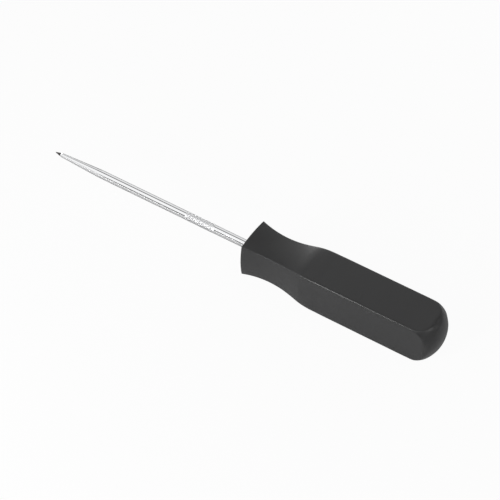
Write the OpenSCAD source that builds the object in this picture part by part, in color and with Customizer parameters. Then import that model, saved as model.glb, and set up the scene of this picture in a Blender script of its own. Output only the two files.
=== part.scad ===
// Straight pick for lifting O-rings out of their grooves.
// A chromed steel shaft, ground to a point and knurled for the fingers, is moulded
// into a square plastic handle with a waisted neck and a turned butt.
// Millimetres. The tool lies on one flat of its grip with the point towards -X,
// and the origin is on that flat's level, under the middle of the tool.

/* [Handle] */
// Length of the handle, from the collar's front face to the end of the butt
handle_l = 75.6; // [64:0.1:100]
// Width of the square grip across its flats
grip_w = 15.65; // [14.5:0.05:17]
// Rounding of the grip's four long edges
edge_r = 0.6; // [0.3:0.05:1.2]
// Width of the collar at the front face, from ridge to ridge
collar_w = 14.15; // [13:0.05:15]
// Width of the waist behind the collar, from ridge to ridge
waist_w = 11.9; // [9:0.05:12.5]
// Distance of the waist from the collar's front face
waist_pos = 10.8; // [8:0.1:13]
// Radius that rolls the neck over into the grip
shoulder_r = 37; // [15:1:50]
// Distance beyond the tool's axis of the axis that each neck face is turned about
crown_axis = 27; // [20:1:50]
// Radius of the turned rounding about the butt
butt_round_r = 7.7; // [5:0.1:9]
// Radius of the dome on the end of the butt
butt_dome_r = 12.9; // [12.4:0.1:24]

/* [Shaft] */
// Diameter of the rod
rod_d = 3; // [2.4:0.1:4]
// Length of the shaft outside the handle, from the point to the collar
shaft_out = 84.4; // [60:0.1:120]
// Diameter of the blunted end of the point
tip_d = 0.2; // [0.1:0.05:0.5]
// Length of the ground point
point_l = 2.8; // [1.5:0.1:6]
// Diameter where the ground point meets the long taper
point_d = 1.5; // [0.8:0.05:2]
// Length of the long taper behind the point
taper_l = 16.8; // [8:0.1:25]

/* [Knurl] */
// Plain length of rod between the knurled band and the collar
knurl_gap = 15.4; // [8:0.1:25]
// Diamonds round the rod
knurl_n = 12; // [8:1:18]
// Diamonds along the knurled band
knurl_rows = 9; // [4:1:12]
// Angle of the knurl's grooves to the rod's axis, in degrees
knurl_angle = 30; // [24:1:45]
// Height of the diamonds' peaks above the bottoms of the grooves
knurl_depth = 0.2; // [0.1:0.02:0.3]

/* [Tang] */
// Length of the shaft inside the handle
tang_l = 48; // [30:0.5:52]
// Width across the two wings coined out of the tang, which stop it turning
wing_w = 4.6; // [4.2:0.1:6]
// Thickness of the wings
wing_t = 1.4; // [0.8:0.1:2]
// Length of the wings along the tang
wing_l = 8; // [5:0.5:12]
// Distance of the wings from the end of the tang
wing_inset = 6; // [3:0.5:12]
// Gap between the tang and the socket moulded round it
tang_fit = 0.02; // [0.01:0.01:0.05]

/* [Hidden] */
$fn = 96;

// Places in the tool's own frame
overall_l = shaft_out + handle_l;
tip_x = -overall_l / 2;
collar_x = tip_x + shaft_out;
axis_z = grip_w / 2;

// Heights of the middle of a neck face above the axis, from the ridge half-widths
function crown(half) = norm([half + crown_axis, half]) - crown_axis;
collar_h = crown(collar_w / 2);
waist_h = crown(waist_w / 2);
shoulder_lap = 0.05;
shoulder_h = crown(grip_w / 2) + shoulder_lap;

// The neck's hollow passes through the waist and the collar's front edge,
// and the shoulder rolls over from it, tangent to both
neck_dip = collar_h - waist_h;
neck_r = (waist_pos ^ 2 + neck_dip ^ 2) / (2 * neck_dip);
roll_sum = neck_r + shoulder_r;
roll_rise = shoulder_h - waist_h;
shoulder_pos = waist_pos + sqrt(2 * roll_sum * roll_rise - roll_rise ^ 2);
roll_pos = waist_pos + (shoulder_pos - waist_pos) * neck_r / roll_sum;

// The butt is turned: its rounding starts at the grip's edges and runs into the dome
edge_reach = (grip_w / 2 - edge_r) * sqrt(2) + edge_r;
butt_lap = 0.1;
butt_r = edge_reach + butt_lap;
dome_pos = handle_l - butt_dome_r;
round_reach = butt_r - butt_round_r;
round_pos = dome_pos + sqrt((butt_dome_r - butt_round_r) ^ 2 - round_reach ^ 2);
dome_edge_r = round_reach * butt_dome_r / (butt_dome_r - butt_round_r);

// Rod and knurl
rod_r = rod_d / 2;
knurl_pitch = PI * rod_d / knurl_n / tan(knurl_angle);
knurl_l = knurl_rows * knurl_pitch;
knurl_pos = shaft_out - knurl_gap - knurl_l;
peak_r = rod_r + knurl_depth / 2;
groove_r = rod_r - knurl_depth / 2;
core_r = groove_r * cos(180 / knurl_n);
shaft_l = shaft_out + tang_l;

// Lays a shape that stands on its start, along +Z, down along the tool's axis
module along_tool(start_x) {
    translate([start_x, 0, axis_z]) rotate([0, 90, 0]) children();
}

// Square with rounded corners, centred
module rounded_square(width, radius) {
    inner = width - 2 * radius;
    square([width, inner], center = true);
    square([inner, width], center = true);
    for (sx = [-1, 1], sy = [-1, 1]) {
        translate([sx, sy] * inner / 2) circle(radius);
    }
}

// Half section of the cut that hollows one side of the neck: X is the distance from
// the axis that the cut is turned about, and Y runs from the collar's front to the butt
module neck_cut_section() {
    translate([crown_axis, 0]) {
        intersection() {
            translate([waist_h + neck_r, waist_pos]) circle(neck_r);
            translate([0, -collar_w]) square([grip_w, collar_w + roll_pos]);
        }
        difference() {
            translate([0, roll_pos]) square([grip_w, shoulder_pos - roll_pos]);
            translate([shoulder_h - shoulder_r, shoulder_pos]) circle(shoulder_r);
        }
    }
}

// The cut on the side that looks along +X, which leaves the neck and collar crowned
module neck_cut() {
    half_sweep = atan(grip_w / crown_axis);
    translate([-crown_axis, 0, 0]) rotate(-half_sweep)
        rotate_extrude(angle = 2 * half_sweep) neck_cut_section();
}

// Half section of the turned butt: a cylinder just outside the grip's edges, a rounding and a dome
module butt_section() {
    square([butt_r, round_pos]);
    intersection() {
        translate([round_reach, round_pos]) circle(butt_round_r);
        translate([dome_edge_r, round_pos]) square(butt_r);
    }
    intersection() {
        translate([0, dome_pos]) circle(butt_dome_r);
        translate([0, round_pos]) square([dome_edge_r, butt_dome_r]);
    }
}

// Two flat wings coined out of the tang, with sloping ends; grow widens them for their socket
module wings(grow) {
    half_w = wing_w / 2 + grow;
    slope = half_w - rod_r;
    back = shaft_l - wing_inset + grow;
    front = back - wing_l - 2 * grow;
    rotate([90, 0, 0]) linear_extrude(wing_t + 2 * grow, center = true) polygon([
        [-half_w, front + slope], [0, front - rod_r], [half_w, front + slope],
        [half_w, back - slope], [0, back + rod_r], [-half_w, back - slope]
    ]);
}

// Diamond knurl: peaks and groove crossings alternate on a lattice wrapped round the rod,
// and the first and last rings sink into the rod
module knurl_band() {
    sides = 2 * knurl_n;
    rings = 2 * knurl_rows;
    sink = knurl_pitch / 8;
    function ring_r(k, j) = j == 0 || j == rings ? groove_r : (k + j) % 2 == 0 ? peak_r : groove_r;
    function ring_z(j) = j == 0 ? -sink : j == rings ? knurl_l + sink : j * knurl_pitch / 2;
    function at(k, j) = j * sides + k % sides;
    points = [
        for (j = [0 : rings], k = [0 : sides - 1])
            [ring_r(k, j) * cos(k * 360 / sides), ring_r(k, j) * sin(k * 360 / sides), ring_z(j)]
    ];
    flanks = [
        for (j = [0 : rings - 1], k = [0 : sides - 1])
            each (k + j) % 2 == 0
                ? [[at(k, j), at(k, j + 1), at(k + 1, j)], [at(k + 1, j), at(k, j + 1), at(k + 1, j + 1)]]
                : [[at(k, j), at(k + 1, j + 1), at(k + 1, j)], [at(k, j), at(k, j + 1), at(k + 1, j + 1)]]
    ];
    front = [for (k = [0 : sides - 1]) at(k, 0)];
    back = [for (k = [sides - 1 : -1 : 0]) at(k, rings)];
    translate([0, 0, knurl_pos]) polyhedron(points, concat([front, back], flanks));
}

module handle() {
    color([0.09, 0.09, 0.10]) difference() {
        along_tool(collar_x) difference() {
            intersection() {
                linear_extrude(handle_l) rounded_square(grip_w, edge_r);
                rotate_extrude() butt_section();
            }
            for (side = [0 : 90 : 270]) rotate(side) neck_cut();
        }
        along_tool(tip_x) {
            cylinder(h = shaft_l + tang_fit, r = rod_r + tang_fit);
            wings(tang_fit);
        }
    }
}

module shaft() {
    color([0.80, 0.81, 0.83]) along_tool(tip_x) {
        rotate_extrude() polygon([
            [0, 0], [tip_d / 2, 0], [point_d / 2, point_l], [rod_r, point_l + taper_l],
            [rod_r, knurl_pos], [core_r, knurl_pos], [core_r, knurl_pos + knurl_l],
            [rod_r, knurl_pos + knurl_l], [rod_r, shaft_l], [0, shaft_l]
        ]);
        knurl_band();
        wings(0);
    }
}

handle();
shaft();
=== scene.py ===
"""Straight O-ring pick: a chromed, knurled shaft moulded into a square black handle."""

from math import cos, hypot, pi, radians, sin, sqrt, tan

import bmesh
import bpy
from mathutils import Matrix, Vector


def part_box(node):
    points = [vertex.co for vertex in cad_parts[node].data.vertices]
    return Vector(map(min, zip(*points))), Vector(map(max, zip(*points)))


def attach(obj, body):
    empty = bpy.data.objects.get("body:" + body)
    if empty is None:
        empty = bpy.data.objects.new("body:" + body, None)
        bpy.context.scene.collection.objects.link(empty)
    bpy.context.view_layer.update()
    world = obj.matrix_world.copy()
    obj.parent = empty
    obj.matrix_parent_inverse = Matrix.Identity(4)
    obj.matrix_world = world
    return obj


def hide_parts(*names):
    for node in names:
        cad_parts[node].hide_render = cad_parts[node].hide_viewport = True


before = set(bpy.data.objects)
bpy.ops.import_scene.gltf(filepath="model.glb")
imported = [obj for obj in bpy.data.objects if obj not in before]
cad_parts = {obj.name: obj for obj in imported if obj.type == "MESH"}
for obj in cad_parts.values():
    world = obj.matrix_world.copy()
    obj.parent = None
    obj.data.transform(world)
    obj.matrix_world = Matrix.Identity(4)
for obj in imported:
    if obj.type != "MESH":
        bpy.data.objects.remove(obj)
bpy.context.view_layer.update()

# Main sizes in millimetres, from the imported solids
MM = 0.001
handle_low, handle_high = [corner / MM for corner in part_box("handle")]
shaft_low, shaft_high = [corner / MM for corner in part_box("shaft")]
COLLAR_X = handle_low.x
HANDLE_LENGTH = handle_high.x - handle_low.x
GRIP_WIDTH = handle_high.z - handle_low.z
AXIS_Z = handle_low.z + GRIP_WIDTH / 2
TIP_X = shaft_low.x
SHAFT_LENGTH = shaft_high.x - shaft_low.x
WING_WIDTH = shaft_high.z - shaft_low.z

# Sizes of the handle that repeat the part's source
EDGE_RADIUS = 0.6
COLLAR_WIDTH = 14.15
WAIST_WIDTH = 11.9
WAIST_PLACE = 10.8
SHOULDER_RADIUS = 37.0
CROWN_AXIS = 27.0
SHOULDER_LAP = 0.05
BUTT_ROUND_RADIUS = 7.7
BUTT_DOME_RADIUS = 12.9
BUTT_LAP = 0.1

# The neck stands a little higher here than in the solid
NECK_LIFT = 0.04

# Sizes of the shaft that repeat the part's source
ROD_RADIUS = 1.5
TIP_RADIUS = 0.1
POINT_LENGTH = 2.8
POINT_RADIUS = 0.75
TAPER_LENGTH = 16.8
KNURL_GAP = 15.4
KNURL_DIAMONDS = 12
KNURL_ROWS = 9
KNURL_ANGLE = radians(30)
KNURL_DEPTH = 0.2

WING_THICKNESS = 1.4
WING_LENGTH = 8.0
WING_INSET = 6.0
TANG_FIT = 0.02


def crown_height(half_width):
    """Height of the middle of a crowned neck face whose ridges lie half_width from the axis planes."""
    return hypot(half_width + CROWN_AXIS, half_width) - CROWN_AXIS


# The neck's hollow, the shoulder that rolls over from it, and the turned butt
collar_height = crown_height(COLLAR_WIDTH / 2) + NECK_LIFT
waist_height = crown_height(WAIST_WIDTH / 2) + NECK_LIFT
shoulder_height = crown_height(GRIP_WIDTH / 2) + SHOULDER_LAP + NECK_LIFT
neck_dip = collar_height - waist_height
neck_radius = (WAIST_PLACE**2 + neck_dip**2) / (2 * neck_dip)
roll_sum = neck_radius + SHOULDER_RADIUS
roll_rise = shoulder_height - waist_height
shoulder_place = WAIST_PLACE + sqrt(2 * roll_sum * roll_rise - roll_rise**2)
roll_place = WAIST_PLACE + (shoulder_place - WAIST_PLACE) * neck_radius / roll_sum
edge_reach = (GRIP_WIDTH / 2 - EDGE_RADIUS) * sqrt(2) + EDGE_RADIUS
butt_radius = edge_reach + BUTT_LAP
dome_place = HANDLE_LENGTH - BUTT_DOME_RADIUS
round_reach = butt_radius - BUTT_ROUND_RADIUS
radius_step = BUTT_DOME_RADIUS - BUTT_ROUND_RADIUS
round_place = dome_place + sqrt(radius_step**2 - round_reach**2)
dome_edge = round_reach * BUTT_DOME_RADIUS / radius_step
dome_start = dome_place + sqrt(BUTT_DOME_RADIUS**2 - dome_edge**2)

# The knurled band on the shaft
knurl_pitch = pi * 2 * ROD_RADIUS / KNURL_DIAMONDS / tan(KNURL_ANGLE)
knurl_length = KNURL_ROWS * knurl_pitch
knurl_place = COLLAR_X - TIP_X - KNURL_GAP - knurl_length


# Node trees

# How new nodes are set out in a tree's editor
NODES_IN_COLUMN = 8
COLUMN_STEP = 200
NODE_STEP = 180


class Wire:
    """An output in a node tree. Arithmetic on wires adds Math nodes, so formulas read as written."""

    def __init__(self, node, output=0):
        self.tree = node.id_data
        self.socket = node.outputs[output]

    def __add__(self, other):
        return calc("ADD", self, other)

    def __radd__(self, other):
        return calc("ADD", other, self)

    def __sub__(self, other):
        return calc("SUBTRACT", self, other)

    def __rsub__(self, other):
        return calc("SUBTRACT", other, self)

    def __mul__(self, other):
        return calc("MULTIPLY", self, other)

    def __truediv__(self, other):
        return calc("DIVIDE", self, other)

    def __rtruediv__(self, other):
        return calc("DIVIDE", other, self)

    def __pow__(self, power):
        return calc("POWER", self, power)


def feed(socket, value):
    """Links a wire to an input, or sets the input to a plain value."""
    if isinstance(value, Wire):
        value.tree.links.new(value.socket, socket)
    else:
        socket.default_value = value


def add_node(tree, kind, settings=None, inputs=None):
    """Adds a node, sets its settings and feeds its inputs by name."""
    node = tree.nodes.new(kind)
    count = len(tree.nodes)
    column, row = divmod(count, NODES_IN_COLUMN)
    node.location = (column * COLUMN_STEP, -row * NODE_STEP)
    for name, value in (settings or {}).items():
        setattr(node, name, value)
    for name, value in (inputs or {}).items():
        feed(node.inputs[name], value)
    return node


def calc(operation, *terms):
    """One Math node on wires and plain numbers."""
    tree = next(term.tree for term in terms if isinstance(term, Wire))
    node = add_node(tree, "ShaderNodeMath", {"operation": operation})
    for socket, term in zip(node.inputs, terms):
        feed(socket, term)
    return Wire(node)


def smooth_min(first, second, width):
    """The lower of two values, rounded over where they differ by less than width."""
    return calc("SMOOTH_MIN", first, second, width)


def ramp(value, start, end, low=0.0, high=1.0):
    """Goes smoothly from low to high as value goes from start to end."""
    node = add_node(
        value.tree,
        "ShaderNodeMapRange",
        {"interpolation_type": "SMOOTHSTEP"},
        {"Value": value, "From Min": start, "From Max": end, "To Min": low, "To Max": high},
    )
    return Wire(node)


def falls(value, start, end, low=0.0):
    """Goes smoothly from 1 down to low as value goes from start to end."""
    return ramp(value, start, end, 1.0, low)


def choose(mask, where_zero, where_one):
    """where_zero or where_one, as a mask of 0 and 1 says."""
    return where_zero + mask * (where_one - where_zero)


def new_tree(name, kind, inputs, outputs):
    """A node group with named sockets. Gives the tree, its input wires by name and its output node."""
    tree = bpy.data.node_groups.new(name, kind)
    for label, socket_type in outputs.items():
        tree.interface.new_socket(label, in_out="OUTPUT", socket_type=socket_type)
    for label, socket_type in inputs.items():
        tree.interface.new_socket(label, in_out="INPUT", socket_type=socket_type)
    start = add_node(tree, "NodeGroupInput")
    wires = {label: Wire(start, label) for label in inputs}
    return tree, wires, add_node(tree, "NodeGroupOutput")


def size_sockets(sizes, **others):
    """Socket types for a tree whose inputs are sizes, plus other inputs."""
    sockets = dict(others)
    for label, value in sizes.items():
        sockets[label] = "NodeSocketInt" if isinstance(value, int) else "NodeSocketFloat"
    return sockets


def close_tree(end, mesh):
    """Ends a geometry tree in a smooth, realized mesh that has the tree's material."""
    tree = end.id_data
    smooth = add_node(tree, "GeometryNodeSetShadeSmooth", inputs={"Geometry": mesh})
    real = add_node(tree, "GeometryNodeRealizeInstances", inputs={"Geometry": Wire(smooth)})
    start = next(node for node in tree.nodes if node.bl_idname == "NodeGroupInput")
    painted = add_node(
        tree,
        "GeometryNodeSetMaterial",
        inputs={"Geometry": Wire(real), "Material": Wire(start, "Material")},
    )
    feed(end.inputs["Mesh"], Wire(painted))


def shaped(name, mesh, tree, values):
    """Runs a geometry tree on a mesh and gives the result as a plain object at the origin."""
    piece = bpy.data.objects.new(name, mesh)
    bpy.context.scene.collection.objects.link(piece)
    modifier = piece.modifiers.new("form", "NODES")
    modifier.node_group = tree
    for item in tree.interface.items_tree:
        if item.name in values:
            modifier[item.identifier] = values[item.name]
    return settled(piece)


def settled(piece):
    """Turns what a piece's modifiers make into its plain mesh, and removes them."""
    graph = bpy.context.evaluated_depsgraph_get()
    mesh = bpy.data.meshes.new_from_object(
        piece.evaluated_get(graph), preserve_all_data_layers=True, depsgraph=graph
    )
    mesh.name = piece.name
    piece.modifiers.clear()
    piece.data = mesh
    return piece


def combined(piece, tool, operation):
    """Joins a tool mesh to a piece, or cuts it out."""
    cutter = bpy.data.objects.new("cutter", tool)
    bpy.context.scene.collection.objects.link(cutter)
    modifier = piece.modifiers.new("combine", "BOOLEAN")
    modifier.operation = operation
    modifier.solver = "EXACT"
    modifier.object = cutter
    settled(piece)
    bpy.data.objects.remove(cutter)
    return piece


# Handle

# Shares of the grid's length that cross the front face and turn over its lip
FACE_SHARE = 0.05
LIP_SHARE = 0.035
SIDE_START = FACE_SHARE + LIP_SHARE

# How strongly the rings crowd together at the butt, and the columns at the ridges
BUTT_CROWDING = 1.6
RIDGE_CROWDING = 0.15

# How fast the neck's curve and the butt's rounding rise out of the way past their ends
SHOULDER_RISE = 0.02
BUTT_RISE = 0.06

# Width of the change from a face's middle to the grip's flat, as a multiple of the flat's slight crown
FLAT_BLEND = 3.0

# A smooth minimum lies below two equal values by its width divided by this
SMOOTH_DIP = 6.0

# The butt's rim is less worn than the ridges
RIM_WEAR = 0.4

# Keeps the slightly crowned flats inside the solid's box
BOX_MARGIN = 0.002

WELD_DISTANCE = 0.001
MOUTH_OVERLAP = 2.0
SOCKET_SIDES = 96
HANDLE_SHARP_ANGLE = radians(35)

HANDLE_SIZES = {
    "Rings": 241,
    "Columns": 193,
    "Length": HANDLE_LENGTH,
    "Grip Half Width": GRIP_WIDTH / 2 - BOX_MARGIN,
    "Crown Axis": CROWN_AXIS,
    "Waist Place": WAIST_PLACE,
    "Waist Height": waist_height,
    "Neck Radius": neck_radius,
    "Roll Place": roll_place,
    "Shoulder Place": shoulder_place,
    "Shoulder Height": shoulder_height,
    "Shoulder Radius": SHOULDER_RADIUS,
    "Butt Radius": butt_radius,
    "Round Place": round_place,
    "Round Radius": BUTT_ROUND_RADIUS,
    "Dome Start": dome_start,
    "Dome Radius": BUTT_DOME_RADIUS,
    "Lip Radius": 0.12,
    "Neck Crown": 0.62,
    "Collar Crown Start": 1.0,
    "Collar Crown End": 9.0,
    "Crown Start": 20.0,
    "Crown End": 30.5,
    "Flat Crown": 0.012,
    "Shoulder Blend": 0.35,
    "Neck Edge Blend": 0.4,
    "Grip Edge Blend": 1.49,
    "Edge Change Start": 18.0,
    "Edge Change End": 27.0,
    "Butt Squareness": 0.1,
    "Square Lean": 0.6,
    "Square Radius Start": 6.0,
    "Square Radius End": 8.4,
    "Flat End Blend": 0.9,
    "Corner Blend": 0.45,
    "Corner Lean Start": 0.3,
    "Corner Lean End": 0.75,
    "Wear Start": 20.0,
    "Wear End": 27.0,
    "Wear Stop": -0.2,
    "Wear Fade": 0.6,
}


def edge_share(first, second, blended, width):
    """1 on the line where two surfaces blend into each other, and 0 away from it."""
    return (calc("MINIMUM", first, second) - blended) / width * SMOOTH_DIP


def handle_tree():
    """Handle form: a grid wrapped round the axis, out to the lowest of the faces and the turned butt."""
    tree, size, end = new_tree(
        "handle_form",
        "GeometryNodeTree",
        size_sockets(HANDLE_SIZES, Material="NodeSocketMaterial"),
        {"Mesh": "NodeSocketGeometry"},
    )
    grid = add_node(
        tree,
        "GeometryNodeMeshGrid",
        inputs={"Size X": 1.0, "Size Y": 1.0, "Vertices X": size["Rings"], "Vertices Y": size["Columns"]},
    )
    spot = add_node(
        tree, "ShaderNodeSeparateXYZ", inputs={"Vector": Wire(add_node(tree, "GeometryNodeInputPosition"))}
    )
    along = Wire(spot, "X") + 0.5
    turn = (Wire(spot, "Y") + 0.5) * (2 * pi)

    # The rings cross the front face, turn over its lip and run down the sides, closer together at the butt
    face_part = calc("MINIMUM", along / FACE_SHARE, 1.0)
    lip_part = calc("MAXIMUM", (along - FACE_SHARE) / LIP_SHARE, 0.0)
    lip_turn = calc("MINIMUM", lip_part, 1.0) * (pi / 2)
    side_part = calc("MAXIMUM", (along - SIDE_START) / (1.0 - SIDE_START), 0.0)
    lip = size["Lip Radius"]
    side_left = (size["Length"] - lip) * (1.0 - side_part) ** BUTT_CROWDING
    to_end = side_left + lip * calc("COSINE", lip_turn)
    place = size["Length"] - to_end

    # The columns crowd together at the four ridges
    angle = turn + calc("SINE", turn * 4.0) * RIDGE_CROWDING
    lean = calc("PINGPONG", angle, pi / 4)
    lean_cos = calc("COSINE", lean)
    lean_sin = calc("SINE", lean)

    # Height of the middle of a fully crowned face: the neck's hollow, the shoulder, and then on upwards
    from_waist = place - size["Waist Place"]
    hollow = size["Waist Height"] + size["Neck Radius"] - calc(
        "SQRT", size["Neck Radius"] ** 2.0 - from_waist * from_waist
    )
    to_shoulder = size["Shoulder Place"] - place
    shoulder = size["Shoulder Height"] - size["Shoulder Radius"] + calc(
        "SQRT", size["Shoulder Radius"] ** 2.0 - to_shoulder * to_shoulder
    )
    past_shoulder = calc("MAXIMUM", to_shoulder * -1.0, 0.0)
    beyond = size["Shoulder Height"] + past_shoulder * past_shoulder * SHOULDER_RISE
    height = choose(calc("GREATER_THAN", place, size["Roll Place"]), hollow, shoulder)
    height = choose(calc("GREATER_THAN", place, size["Shoulder Place"]), height, beyond)

    # The ridges follow from that height, up to the grip's width. The crown dies away along the neck, and
    # no face rises above the grip's flats.
    axis = size["Crown Axis"]
    flat_crown = size["Flat Crown"]
    turned_out = (height + axis) * (height + axis)
    ridge_half = (calc("SQRT", turned_out * 2.0 - axis * axis) - axis) * 0.5
    full_crown = height - ridge_half
    ridge_half = smooth_min(ridge_half, size["Grip Half Width"] - flat_crown, size["Shoulder Blend"])
    crown = full_crown * falls(
        place, size["Collar Crown Start"], size["Collar Crown End"], size["Neck Crown"]
    )
    crown = crown * falls(place, size["Crown Start"], size["Crown End"]) + flat_crown
    middle = smooth_min(ridge_half + crown, size["Grip Half Width"], flat_crown * FLAT_BLEND)
    crown_axis = (ridge_half * ridge_half * 2.0 - middle * middle) / ((middle - ridge_half) * 2.0)
    ridge_out = ridge_half + crown_axis
    crown_square = ridge_out * ridge_out + ridge_half * ridge_half

    def face_reach(face_cos, face_sin):
        """Distance from the axis to one side's crowned or flat surface."""
        sideways = crown_axis * face_sin
        return calc("SQRT", crown_square - sideways * sideways) - crown_axis * face_cos

    own = face_reach(lean_cos, lean_sin)
    neighbour = face_reach(lean_sin, lean_cos)
    edge_blend = ramp(
        place,
        size["Edge Change Start"],
        size["Edge Change End"],
        size["Neck Edge Blend"],
        size["Grip Edge Blend"],
    )
    sides = smooth_min(own, neighbour, edge_blend)

    # The turned butt: it widens forwards, so that it leaves the grip's ridges alone
    before_round = calc("MAXIMUM", size["Round Place"] - place, 0.0)
    in_round = calc("MAXIMUM", place - size["Round Place"], 0.0)
    rounding = (
        size["Butt Radius"]
        - size["Round Radius"]
        + calc("SQRT", size["Round Radius"] ** 2.0 - in_round * in_round)
        + before_round * before_round * BUTT_RISE
    )
    dome = calc("SQRT", to_end * (size["Dome Radius"] * 2.0 - to_end))
    butt = choose(calc("GREATER_THAN", place, size["Dome Start"]), rounding, dome)
    squared = ramp(lean, 0.0, size["Square Lean"], size["Butt Squareness"], 0.0)
    squared = squared * ramp(butt, size["Square Radius Start"], size["Square Radius End"])
    butt = butt * (1.0 - squared)
    butt_blend = ramp(
        lean,
        size["Corner Lean Start"],
        size["Corner Lean End"],
        size["Flat End Blend"],
        size["Corner Blend"],
    )
    reach = smooth_min(sides, butt, butt_blend)

    # The grip's ridges, up to where the butt takes over, and the butt's rim are smoother from handling
    ridge = edge_share(own, neighbour, sides, edge_blend) * ramp(place, size["Wear Start"], size["Wear End"])
    ridge = ridge * ramp(butt - sides, size["Wear Stop"], size["Wear Fade"])
    rim = edge_share(sides, butt, reach, butt_blend)
    wear = calc("MINIMUM", ridge + rim * RIM_WEAR, 1.0)

    radius = (reach - lip * (1.0 - calc("SINE", lip_turn))) * face_part
    wrapped = add_node(
        tree,
        "ShaderNodeCombineXYZ",
        inputs={
            "X": (place + COLLAR_X) * MM,
            "Y": radius * calc("SINE", angle) * MM,
            "Z": (radius * calc("COSINE", angle) + AXIS_Z) * MM,
        },
    )
    worn = add_node(
        tree,
        "GeometryNodeStoreNamedAttribute",
        {"data_type": "FLOAT", "domain": "POINT"},
        {"Geometry": Wire(grid, "Mesh"), "Name": "edge", "Value": wear},
    )
    placed = add_node(
        tree, "GeometryNodeSetPosition", inputs={"Geometry": Wire(worn), "Position": Wire(wrapped)}
    )
    closed = add_node(
        tree,
        "GeometryNodeMergeByDistance",
        inputs={"Geometry": Wire(placed), "Distance": WELD_DISTANCE * MM},
    )
    close_tree(end, Wire(closed))
    return tree


def turned(profile, sides):
    """A closed mesh turned about the tool's axis from pairs of place along the shaft and radius."""
    form = bmesh.new()
    rings = []
    for place, radius in profile:
        ring = []
        for column in range(sides):
            angle = 2 * pi * column / sides
            point = Vector((TIP_X + place, radius * sin(angle), AXIS_Z + radius * cos(angle)))
            ring.append(form.verts.new(point * MM))
        rings.append(ring)
    for front, back in zip(rings, rings[1:]):
        for column in range(sides):
            after = (column + 1) % sides
            form.faces.new((front[column], front[after], back[after], back[column]))
    form.faces.new(rings[0])
    form.faces.new(rings[-1])
    return plain_mesh(form, "turned")


def tang_wings(grow):
    """The two wings coined out of the tang, as one flat six-sided plate through the rod."""
    half_width = WING_WIDTH / 2 + grow
    half_thickness = WING_THICKNESS / 2 + grow
    slope = half_width - ROD_RADIUS
    back = SHAFT_LENGTH - WING_INSET + grow
    front = back - WING_LENGTH - 2 * grow
    outline = [
        (front + slope, half_width),
        (front - ROD_RADIUS, 0.0),
        (front + slope, -half_width),
        (back - slope, -half_width),
        (back + ROD_RADIUS, 0.0),
        (back - slope, half_width),
    ]
    form = bmesh.new()
    rims = []
    for side in (-half_thickness, half_thickness):
        corners = [Vector((TIP_X + place, side, AXIS_Z + rise)) * MM for place, rise in outline]
        rims.append([form.verts.new(corner) for corner in corners])
    near, far = rims
    form.faces.new(near)
    form.faces.new(far)
    for corner in range(len(outline)):
        after = (corner + 1) % len(outline)
        form.faces.new((near[corner], near[after], far[after], far[corner]))
    return plain_mesh(form, "wings")


def winged(rod, grow):
    """The mesh of a turned rod with the wings joined to it."""
    blank = bpy.data.objects.new("blank", rod)
    bpy.context.scene.collection.objects.link(blank)
    mesh = combined(blank, tang_wings(grow), "UNION").data
    bpy.data.objects.remove(blank)
    return mesh


def plain_mesh(form, name):
    """Turns a bmesh into a mesh with its faces outwards."""
    bmesh.ops.recalc_face_normals(form, faces=form.faces)
    mesh = bpy.data.meshes.new(name)
    form.to_mesh(mesh)
    form.free()
    return mesh


def build_handle(material):
    """The moulded handle, with the blind socket that the tang sits in."""
    handle = shaped(
        "pick_handle",
        bpy.data.meshes.new("handle_start"),
        handle_tree(),
        {**HANDLE_SIZES, "Material": material},
    )
    face_outwards(handle)
    before_mouth = COLLAR_X - TIP_X - MOUTH_OVERLAP
    socket_radius = ROD_RADIUS + TANG_FIT
    bore = [(before_mouth, socket_radius), (SHAFT_LENGTH + TANG_FIT, socket_radius)]
    combined(handle, winged(turned(bore, SOCKET_SIDES), TANG_FIT), "DIFFERENCE")
    handle.data.materials.clear()
    handle.data.materials.append(material)
    handle.data.set_sharp_from_angle(angle=HANDLE_SHARP_ANGLE)
    return handle


def face_outwards(piece):
    """Turns a closed piece's faces outwards."""
    form = bmesh.new()
    form.from_mesh(piece.data)
    bmesh.ops.recalc_face_normals(form, faces=form.faces)
    form.to_mesh(piece.data)
    form.free()


# Shaft

# The photograph shows a shallower knurl than the solid's
KNURL_SHARE = 0.45

# Rings in each row of diamonds, which are also the columns in each diamond, and extra rings at both ends
KNURL_STEPS = 16
EXTRA_RINGS = 2

# Rings of the blank: places and radii at the nose, and places between the corners of its outline
NOSE_RINGS = ((0.0, 0.03), (0.01, 0.06), (0.03, 0.088), (0.07, 0.112))
POINT_RINGS = (0.3, 0.8, 1.4, 2.0, 2.5, 2.74)
TAPER_RINGS = (2.86, 3.2, 5.0, 8.0, 12.0, 16.0, 18.8)
ROD_RINGS = (24.0, 32.0, 40.0, 48.0)
TANG_RINGS = (76.0, 84.0, 96.0, 108.0, 120.0)

# The corners at the ends of the taper are taken down by this much
POINT_CORNER = 0.004
TAPER_CORNER = 0.008

# Plain rings this far past the taper and beside the knurl
TAPER_REST = 0.8
KNURL_REST = 1.0

SHAFT_SHARP_ANGLE = radians(50)

KNURL_SIZES = {
    "Band Place": knurl_place,
    "Band Length": knurl_length,
    "Diamonds": KNURL_DIAMONDS,
    "Pitch": knurl_pitch,
    "Depth": KNURL_DEPTH * KNURL_SHARE,
    "Run In": 0.8,
    "Cross Blend": 0.18,
    "Top": 0.25,
    "Top Blend": 0.1,
    "Top Height": 0.246,
}


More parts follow.
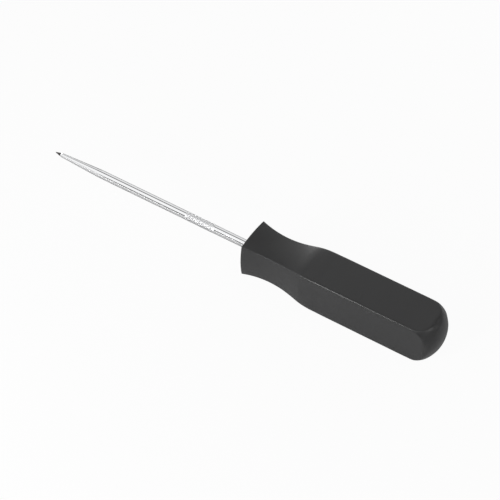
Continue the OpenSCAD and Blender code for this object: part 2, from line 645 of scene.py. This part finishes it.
def knurl_tree():
    """Rolls a diamond knurl into the band: two sets of V grooves that cross, and flat-topped diamonds."""
    tree, size, end = new_tree(
        "diamond_knurl",
        "GeometryNodeTree",
        size_sockets(KNURL_SIZES, Blank="NodeSocketGeometry", Material="NodeSocketMaterial"),
        {"Mesh": "NodeSocketGeometry"},
    )
    spot = add_node(
        tree, "ShaderNodeSeparateXYZ", inputs={"Vector": Wire(add_node(tree, "GeometryNodeInputPosition"))}
    )
    place = Wire(spot, "X") / MM - TIP_X - size["Band Place"]
    sideways = Wire(spot, "Y") / MM
    upwards = Wire(spot, "Z") / MM - AXIS_Z
    around = calc("ARCTAN2", sideways, upwards) * size["Diamonds"] / (2 * pi) + 0.5
    forwards = place / size["Pitch"]

    def flank(lane):
        """Height from 0 in one set's grooves to 1 half-way between them."""
        return calc("PINGPONG", lane, 0.5) * 2.0

    diamond = smooth_min(flank(around + forwards), flank(around - forwards), size["Cross Blend"])
    diamond = smooth_min(diamond, size["Top"], size["Top Blend"]) / size["Top Height"]
    run_in = size["Run In"]
    rolled = ramp(place, 0.0, run_in) * ramp(size["Band Length"] - place, 0.0, run_in)
    lift = (diamond - 0.5) * size["Depth"] * rolled * MM
    reach = calc("SQRT", sideways * sideways + upwards * upwards)
    offset = add_node(
        tree,
        "ShaderNodeCombineXYZ",
        inputs={"Y": sideways / reach * lift, "Z": upwards / reach * lift},
    )
    marked = add_node(
        tree,
        "GeometryNodeStoreNamedAttribute",
        {"data_type": "FLOAT", "domain": "POINT"},
        {"Geometry": size["Blank"], "Name": "groove", "Value": (1.0 - diamond) * rolled},
    )
    placed = add_node(
        tree, "GeometryNodeSetPosition", inputs={"Geometry": Wire(marked), "Offset": Wire(offset)}
    )
    close_tree(end, Wire(placed))
    return tree


def shaft_profile():
    """Place and radius of each ring of the blank, from the point to the end of the tang."""
    taper_end = POINT_LENGTH + TAPER_LENGTH
    taper_slope = (ROD_RADIUS - POINT_RADIUS) / TAPER_LENGTH
    point_slope = (POINT_RADIUS - TIP_RADIUS) / POINT_LENGTH
    profile = list(NOSE_RINGS)
    for place in POINT_RINGS:
        profile.append((place, TIP_RADIUS + place * point_slope))
    profile.append((POINT_LENGTH, POINT_RADIUS - POINT_CORNER))
    for place in TAPER_RINGS:
        profile.append((place, POINT_RADIUS + (place - POINT_LENGTH) * taper_slope))
    profile.append((taper_end, ROD_RADIUS - TAPER_CORNER))

    # Everything after the taper has the rod's own radius, with close rings for the knurl
    steps = KNURL_ROWS * KNURL_STEPS
    places = [taper_end + TAPER_REST, *ROD_RINGS, knurl_place - KNURL_REST]
    for step in range(-EXTRA_RINGS, steps + EXTRA_RINGS + 1):
        places.append(knurl_place + knurl_length * step / steps)
    places += [knurl_place + knurl_length + KNURL_REST, *TANG_RINGS, SHAFT_LENGTH]
    return profile + [(place, ROD_RADIUS) for place in places]


def build_shaft(material):
    """The steel shaft: point, taper, knurled band, plain rod and winged tang."""
    blank = winged(turned(shaft_profile(), KNURL_STEPS * KNURL_DIAMONDS), 0.0)
    shaft = shaped("pick_shaft", blank, knurl_tree(), {**KNURL_SIZES, "Material": material})
    shaft.data.set_sharp_from_angle(angle=SHAFT_SHARP_ANGLE)
    return shaft


# Materials

# Colours between which slow patches drift, the painted shade in the knurl's grooves, and the point's ground
# steel, painted dark as a stand-in for a dark reflection
PLASTIC_DARK = (0.027, 0.027, 0.0275, 1)
PLASTIC_LIGHT = (0.033, 0.033, 0.0336, 1)
CHROME_DARK = (0.90, 0.905, 0.915, 1)
CHROME_LIGHT = (0.94, 0.943, 0.95, 1)
PAINTED_GROOVE_SHADE = (0.27, 0.27, 0.28, 1)
GROUND_STEEL_PAINTED_DARK = (0.10, 0.095, 0.095, 1)

# Chrome darkens where it is seen at a slant
SLANT_TINT = (0.1, 0.1, 0.1, 1)

# Changes in roughness: along handled edges, in grooves, on ground steel and on polishing rings
EDGE_POLISH = 0.12
GROOVE_DULLNESS = 0.12
GROUND_DULLNESS = 0.2
RING_DULLNESS = 0.03

# How much the painted groove shade covers, and where the ground steel ends, counted back from the point's
# corner
GROOVE_SHADE_COVER = 0.9
GROUND_FROM = 0.5
GROUND_TO = 0.3

# Polishing rings: how many there are in a millimetre, their detail, and how much of them plating leaves
RING_DENSITY = 14.0
RING_DETAIL = 3.0
PLATED_RINGS = 0.1

# Where the Mix node keeps its factor, its two colours and its mixed colour
MIX_FACTOR = 0
MIX_FIRST = 6
MIX_SECOND = 7
MIX_RESULT = 2


def fine_marks_group():
    """Fine grain and slow patches, for any surface that isn't perfectly even."""
    group, wires, end = new_tree(
        "fine_marks",
        "ShaderNodeTree",
        {"Place": "NodeSocketVector", "Grain Size": "NodeSocketFloat", "Patch Size": "NodeSocketFloat"},
        {"Grain": "NodeSocketFloat", "Patches": "NodeSocketFloat"},
    )
    for label, size, detail in (
        ("Grain", wires["Grain Size"], 2.0),
        ("Patches", wires["Patch Size"], 3.0),
    ):
        noise = add_node(
            group,
            "ShaderNodeTexNoise",
            inputs={"Vector": wires["Place"], "Scale": 1.0 / (size * MM), "Detail": detail},
        )
        feed(end.inputs[label], Wire(noise, 0))
    return group


def new_material(name):
    """Gives a new material, its Principled shader and its Object coordinates."""
    material = bpy.data.materials.new(name)
    material.use_nodes = True
    tree = material.node_tree
    tree.nodes.clear()
    shader = add_node(tree, "ShaderNodeBsdfPrincipled")
    output = add_node(tree, "ShaderNodeOutputMaterial")
    feed(output.inputs["Surface"], Wire(shader))
    return material, shader, Wire(add_node(tree, "ShaderNodeTexCoord"), "Object")


def marks(place, group, grain_size, patch_size):
    """Places the shared marks in a material, at its own sizes in millimetres."""
    return add_node(
        place.tree,
        "ShaderNodeGroup",
        {"node_tree": group},
        {"Place": place, "Grain Size": grain_size, "Patch Size": patch_size},
    )


def mixed(mask, first, second):
    """A colour between two others."""
    node = add_node(mask.tree, "ShaderNodeMix", {"data_type": "RGBA"})
    feed(node.inputs[MIX_FACTOR], mask)
    feed(node.inputs[MIX_FIRST], first)
    feed(node.inputs[MIX_SECOND], second)
    return Wire(node, MIX_RESULT)


def bumped(height, strength, distance):
    """A normal from a height, for marks too fine to be modelled."""
    node = add_node(
        height.tree, "ShaderNodeBump", inputs={"Height": height, "Strength": strength, "Distance": distance}
    )
    return Wire(node)


def black_plastic(group):
    """Satin black moulded plastic, a little smoother along its handled edges."""
    material, shader, place = new_material("satin_black_plastic")
    surface = marks(place, group, grain_size=0.12, patch_size=9.0)
    patches = Wire(surface, "Patches")
    edge = Wire(add_node(place.tree, "ShaderNodeAttribute", {"attribute_name": "edge"}), "Fac")
    feed(shader.inputs["Base Color"], mixed(patches, PLASTIC_DARK, PLASTIC_LIGHT))
    satin = ramp(patches, start=0.25, end=0.75, low=0.3, high=0.36)
    feed(shader.inputs["Roughness"], satin - edge * EDGE_POLISH)
    feed(shader.inputs["Normal"], bumped(Wire(surface, "Grain"), strength=0.12, distance=0.02 * MM))
    return material


def bright_chrome(group):
    """Bright chrome with faint polishing rings, dull in the knurl with painted shade in its grooves, and
    ground steel at the point painted dark as a stand-in for a dark reflection.
    """
    material, shader, place = new_material("bright_chrome")
    surface = marks(place, group, grain_size=0.05, patch_size=6.0)
    patches = Wire(surface, "Patches")
    spot = add_node(place.tree, "ShaderNodeSeparateXYZ", inputs={"Vector": place})
    along = Wire(spot, "X") / MM - TIP_X
    groove = Wire(add_node(place.tree, "ShaderNodeAttribute", {"attribute_name": "groove"}), "Fac")
    ground = falls(along, POINT_LENGTH - GROUND_FROM, POINT_LENGTH - GROUND_TO)
    rings = add_node(
        place.tree,
        "ShaderNodeTexNoise",
        {"noise_dimensions": "1D"},
        {"W": along, "Scale": RING_DENSITY, "Detail": RING_DETAIL},
    )
    ring_lines = Wire(rings, 0)
    plated = mixed(patches, CHROME_DARK, CHROME_LIGHT)
    # Painted shade: the knurl's grooves are darkened by their colour
    rolled = mixed(groove * GROOVE_SHADE_COVER, plated, PAINTED_GROOVE_SHADE)
    # Painted dark reflection: the point's bare ground steel is coloured far darker than steel is
    feed(shader.inputs["Base Color"], mixed(ground, rolled, GROUND_STEEL_PAINTED_DARK))
    shine = ramp(patches, start=0.3, end=0.7, low=0.05, high=0.09)
    dullness = shine + groove * GROOVE_DULLNESS + ground * GROUND_DULLNESS + ring_lines * RING_DULLNESS
    feed(shader.inputs["Roughness"], dullness)
    feed(shader.inputs["Metallic"], 1.0)
    feed(shader.inputs["Specular Tint"], SLANT_TINT)
    polished = ring_lines * (PLATED_RINGS + ground)
    feed(shader.inputs["Normal"], bumped(polished, strength=0.2, distance=0.01 * MM))
    return material


# Studio

WHITE = (1, 1, 1, 1)

# World: its level for rays that are neither the camera's nor mirrored, and how dark its dim places are
PLAIN_LEVEL = 0.14
DARKNESS = 0.92

# Places in the world that mirror rays see. Each pair is the start and end of a soft change, in the part of
# the ray's direction along X, Y or Z.
BEHIND_Y = (-0.05, 0.25)
BEHIND_X = (-0.7, 0.2)
BEHIND_LEVELS = (0.9, 0.5)
LEFT_END_X = (-0.62, -0.47)
LEFT_END_LEVEL = 0.6
RIGHT_END_X = (0.2, 0.7)
RIGHT_END_LEVEL = 0.6
ROOM_Y = (-0.8, -0.5)
ROOM_FOOT_Z = (0.07, 0.14)
ROOM_TOP_Z = (0.42, 0.54)
ROOM_LEFT_X = (-0.46, -0.41)
ROOM_LEFT_SHARE = 0.3
GAP_MIDDLE_X = -0.39
GAP_MIDDLE_Y = 0.27
GAP_REACH_X = (0.08, 0.2)
GAP_REACH_Y = (0.05, 0.25)
GAP_FOOT_Z = (0.3, 0.6)
FAR_WALL_Y = (0.7, 0.85)
FAR_WALL_TOP_Z = (0.3, 0.5)
FAR_WALL_LEFT_X = (-0.455, -0.425)
FAR_WALL_SHADE = 0.32
FAR_WALL_GLOW = -0.8

# Floor: sizes in metres, its grey, and how much of its own white the camera and mirror rays see
FLOOR_SIDES = 96
FLOOR_RADIUS = 2.5
FLOOR_DROP = 0.05 * MM
FLOOR_GREY = (0.95, 0.95, 0.95, 1)
FLOOR_SEEN = 0.95
FLOOR_MIRRORED = 0.1

# Camera, fitted to the photograph's outline: angles, and lengths in millimetres
CAMERA_AZIMUTH = radians(32.77)
CAMERA_ELEVATION = radians(48.94)
CAMERA_TARGET = Vector((3.29, 0.06, 5.74))
CAMERA_DISTANCE = 717.2
CAMERA_LENS = 148.7
CAMERA_SENSOR = 36.0


def seen_rays(tree):
    """Masks for rays that show the background: the camera's own, and those by mirrors or through glass."""
    path = add_node(tree, "ShaderNodeLightPath")
    mirrored = calc("MAXIMUM", Wire(path, "Is Glossy Ray"), Wire(path, "Is Transmission Ray"))
    return Wire(path, "Is Camera Ray"), mirrored


def build_world():
    """A white studio. Mirror rays find its lighter and dimmer walls, and other rays a plain level."""
    world = bpy.data.worlds.new("studio")
    bpy.context.scene.world = world
    world.use_nodes = True
    tree = world.node_tree
    tree.nodes.clear()
    camera, mirrored = seen_rays(tree)
    way = add_node(
        tree,
        "ShaderNodeSeparateXYZ",
        inputs={"Vector": Wire(add_node(tree, "ShaderNodeTexCoord"), "Generated")},
    )
    right = Wire(way, "X")
    across = Wire(way, "Y")
    up = Wire(way, "Z")

    # Behind the tool the studio is lighter towards the left, and dimmer again at its left end
    beside = ramp(right, *BEHIND_X, *BEHIND_LEVELS) * ramp(right, *LEFT_END_X, LEFT_END_LEVEL)
    behind = choose(ramp(across, *BEHIND_Y), 1.0, beside)

    # The dim level of the room, low down on the near side
    room = falls(across, *ROOM_Y) * ramp(up, *ROOM_FOOT_Z) * falls(up, *ROOM_TOP_Z)
    room = room * ramp(right, *ROOM_LEFT_X, ROOM_LEFT_SHARE)

    # The gap between two overhead lights
    from_gap_x = calc("ABSOLUTE", right - GAP_MIDDLE_X)
    from_gap_y = calc("ABSOLUTE", across - GAP_MIDDLE_Y)
    gap = falls(from_gap_y, *GAP_REACH_Y) * ramp(up, *GAP_FOOT_Z) * falls(from_gap_x, *GAP_REACH_X)

    # The lower part of the far wall, shaded at its left and lighter from there to the right
    far_wall = ramp(across, *FAR_WALL_Y) * falls(up, *FAR_WALL_TOP_Z)
    far_wall = far_wall * falls(right, *FAR_WALL_LEFT_X, FAR_WALL_GLOW) * FAR_WALL_SHADE

    # The right end is dimmer throughout
    studio = behind * falls(right, *RIGHT_END_X, RIGHT_END_LEVEL) * (1.0 - far_wall)
    studio = studio * (1.0 - calc("MAXIMUM", room, gap) * DARKNESS)
    strength = choose(camera, choose(mirrored, PLAIN_LEVEL, studio), 1.0)
    light = add_node(tree, "ShaderNodeBackground", inputs={"Color": WHITE, "Strength": strength})
    output = add_node(tree, "ShaderNodeOutputWorld")
    feed(output.inputs["Surface"], Wire(light))


def build_floor():
    """A plain white floor just under the tool, which keeps a soft shadow."""
    form = bmesh.new()
    bmesh.ops.create_circle(form, cap_ends=True, segments=FLOOR_SIDES, radius=FLOOR_RADIUS)
    mesh = bpy.data.meshes.new("floor")
    form.to_mesh(mesh)
    form.free()
    mesh.transform(Matrix.Translation((0, 0, -FLOOR_DROP)))
    floor = bpy.data.objects.new("floor", mesh)
    bpy.context.scene.collection.objects.link(floor)
    material = bpy.data.materials.new("white_floor")
    material.use_nodes = True
    tree = material.node_tree
    tree.nodes.clear()
    camera, mirrored = seen_rays(tree)
    matt = add_node(tree, "ShaderNodeBsdfDiffuse", inputs={"Color": FLOOR_GREY})
    white = add_node(tree, "ShaderNodeEmission", inputs={"Color": WHITE, "Strength": 1.0})
    blend = add_node(tree, "ShaderNodeMixShader")
    share, under, over = blend.inputs
    feed(share, calc("MAXIMUM", camera * FLOOR_SEEN, mirrored * FLOOR_MIRRORED))
    feed(under, Wire(matt))
    feed(over, Wire(white))
    output = add_node(tree, "ShaderNodeOutputMaterial")
    feed(output.inputs["Surface"], Wire(blend))
    mesh.materials.append(material)


def add_softbox(name, aim, direction, distance, width, height, radiance, mirrored=True):
    """A soft studio lamp that looks at a point, in millimetres, from a direction. Its sizes are in metres."""
    lamp = bpy.data.lights.new(name, "AREA")
    lamp.shape = "RECTANGLE"
    lamp.size = width
    lamp.size_y = height
    lamp.energy = radiance * pi * width * height
    holder = bpy.data.objects.new(name, lamp)
    outwards = Vector(direction).normalized()
    holder.location = Vector(aim) * MM + outwards * distance
    holder.rotation_mode = "QUATERNION"
    holder.rotation_quaternion = outwards.to_track_quat("Z", "Y")
    holder.visible_glossy = mirrored
    bpy.context.scene.collection.objects.link(holder)


def build_camera():
    """The camera of the photograph: a long lens, above the near side and behind the butt."""
    level = cos(CAMERA_ELEVATION)
    back = Vector((sin(CAMERA_AZIMUTH) * level, -cos(CAMERA_AZIMUTH) * level, sin(CAMERA_ELEVATION)))
    lens = bpy.data.cameras.new("camera")
    lens.sensor_width = CAMERA_SENSOR
    lens.lens = CAMERA_LENS
    camera = bpy.data.objects.new("camera", lens)
    camera.location = (CAMERA_TARGET + back * CAMERA_DISTANCE) * MM
    camera.rotation_mode = "QUATERNION"
    camera.rotation_quaternion = back.to_track_quat("Z", "Y")
    bpy.context.scene.collection.objects.link(camera)
    bpy.context.scene.camera = camera


def light_studio():
    """The studio's lamps. The two fills only lighten the handle's sides, and no surface mirrors them."""
    add_softbox(
        "front_softbox",
        aim=(-163, 0, 12),
        direction=(0, -0.883, 0.469),
        distance=0.57,
        width=0.05,
        height=0.5,
        radiance=11.0,
    )
    add_softbox(
        "fill_softbox",
        aim=(20, 0, 8),
        direction=(-0.46, -0.875, 0.16),
        distance=0.35,
        width=0.25,
        height=0.11,
        radiance=12.0,
        mirrored=False,
    )
    add_softbox(
        "far_fill_softbox",
        aim=(40, 0, 8),
        direction=(0.25, 0.95, 0.16),
        distance=0.45,
        width=0.25,
        height=0.12,
        radiance=9.0,
        mirrored=False,
    )
    add_softbox(
        "back_softbox",
        aim=(25, 0, 12),
        direction=(-0.66, 0.72, 0.21),
        distance=2.0,
        width=0.5,
        height=0.57,
        radiance=6.3,
    )
    add_softbox(
        "right_softbox",
        aim=(76, 0, 12),
        direction=(0.82, 0.12, 0.53),
        distance=0.5,
        width=0.3,
        height=0.2,
        radiance=2.4,
    )


# The whole scene

bpy.context.scene.view_settings.view_transform = "Standard"
build_camera()
build_world()
build_floor()
light_studio()

fine_marks = fine_marks_group()
pick_handle = build_handle(black_plastic(fine_marks))
pick_shaft = build_shaft(bright_chrome(fine_marks))
for piece, node, slot in (
    (pick_handle, "handle", "handle_plastic"),
    (pick_shaft, "shaft", "shaft_chrome"),
):
    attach(piece, "root")
    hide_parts(node)
